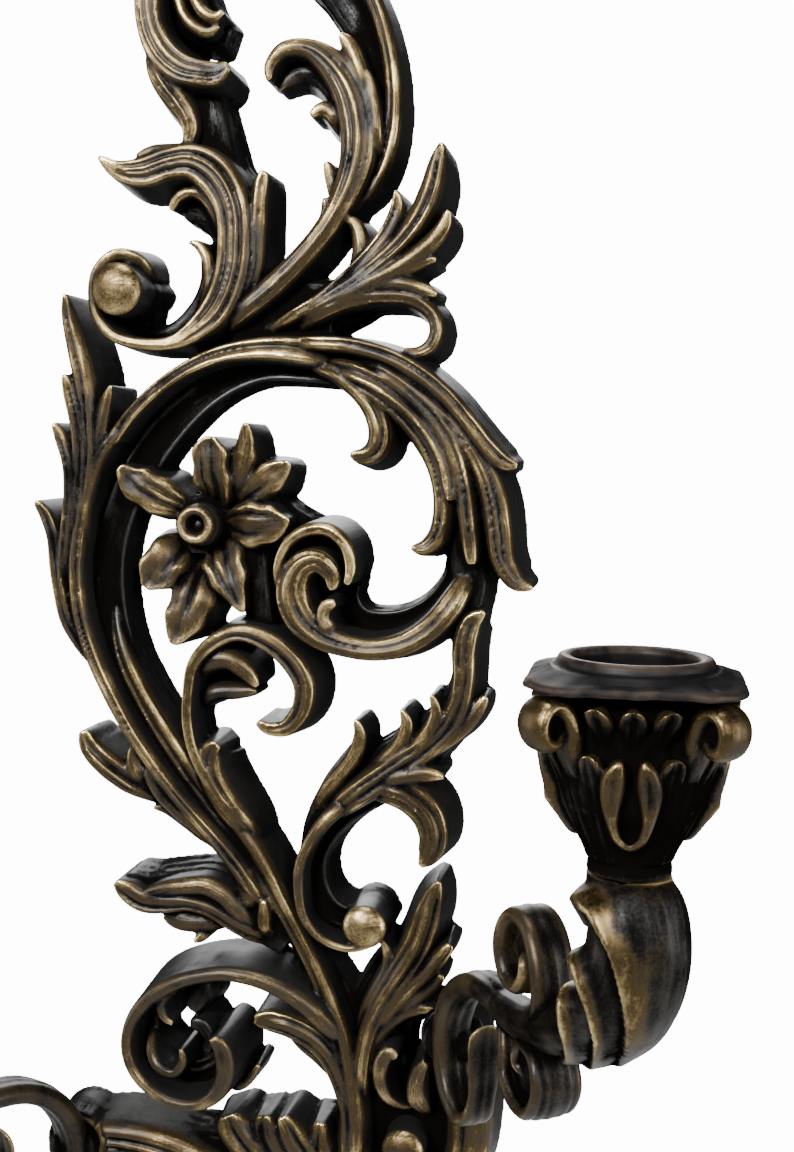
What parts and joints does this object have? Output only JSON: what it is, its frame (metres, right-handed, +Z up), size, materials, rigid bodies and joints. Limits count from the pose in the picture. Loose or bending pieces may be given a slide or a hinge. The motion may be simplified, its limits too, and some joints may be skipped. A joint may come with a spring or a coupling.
{
  "type": "wall sconce candle holder",
  "caption": "Rococo wall sconce with an openwork scroll and leaf back plate and curled arms that carry leafy cups with lift-out taper candle sockets.",
  "frame": {"origin": "on the flat back face of the plate, in the plane of the wall, at the middle of the lower trunk where the stems meet", "axes": "+Z up, +X to the right of a person facing the sconce, -Y out of the wall towards the room, +Y into the wall"},
  "size_m": [0.23, 0.1105, 0.3982],
  "materials": {
    "plate_finish": "moulded composition, black-brown with rubbed antique gold on the high spots",
    "arm_finish": "moulded composition, black-brown with rubbed antique gold on the leaf edges",
    "cup_finish": "moulded composition, black-brown with rubbed antique gold on the leaf tips",
    "socket_finish": "matte charcoal paint, brown inside the hole",
    "screw_steel": "zinc plated",
    "brass": "machined"
  },
  "bodies": {
    "sconce": {"back_plate": "plate_finish", "arm_right": "arm_finish", "arm_left": "arm_finish", "cup_right": "cup_finish", "cup_left": "cup_finish", "arm_screw_right": "screw_steel", "arm_screw_left": "screw_steel", "arm_washer_right": "screw_steel", "arm_washer_left": "screw_steel", "arm_insert_right": "brass", "arm_insert_left": "brass", "arm_dowel_right": "screw_steel", "arm_dowel_left": "screw_steel", "cup_screw_right": "screw_steel", "cup_screw_left": "screw_steel", "cup_insert_right": "brass", "cup_insert_left": "brass", "hanger_strap": "screw_steel", "hanger_screw_left": "screw_steel", "hanger_screw_right": "screw_steel"},
    "candle_socket_right": {"socket_right": "socket_finish"},
    "candle_socket_left": {"socket_left": "socket_finish"},
    "wire_ring": {"hanger_ring": "screw_steel"}
  },
  "joints": [
    {"name": "socket_right_lift", "type": "slide", "parent": "sconce", "child": "candle_socket_right", "axis": [0, 0, 1], "range_m": [0, 0.03]},
    {"name": "socket_left_lift", "type": "slide", "parent": "sconce", "child": "candle_socket_left", "axis": [0, 0, 1], "range_m": [0, 0.03]},
    {"name": "hanger_ring_swing", "type": "hinge", "parent": "sconce", "child": "wire_ring", "pos_m": [-0.022, -0.0023, 0.2005], "axis": [-1, 0, 0], "range_deg": [0, 90]}
  ]
}
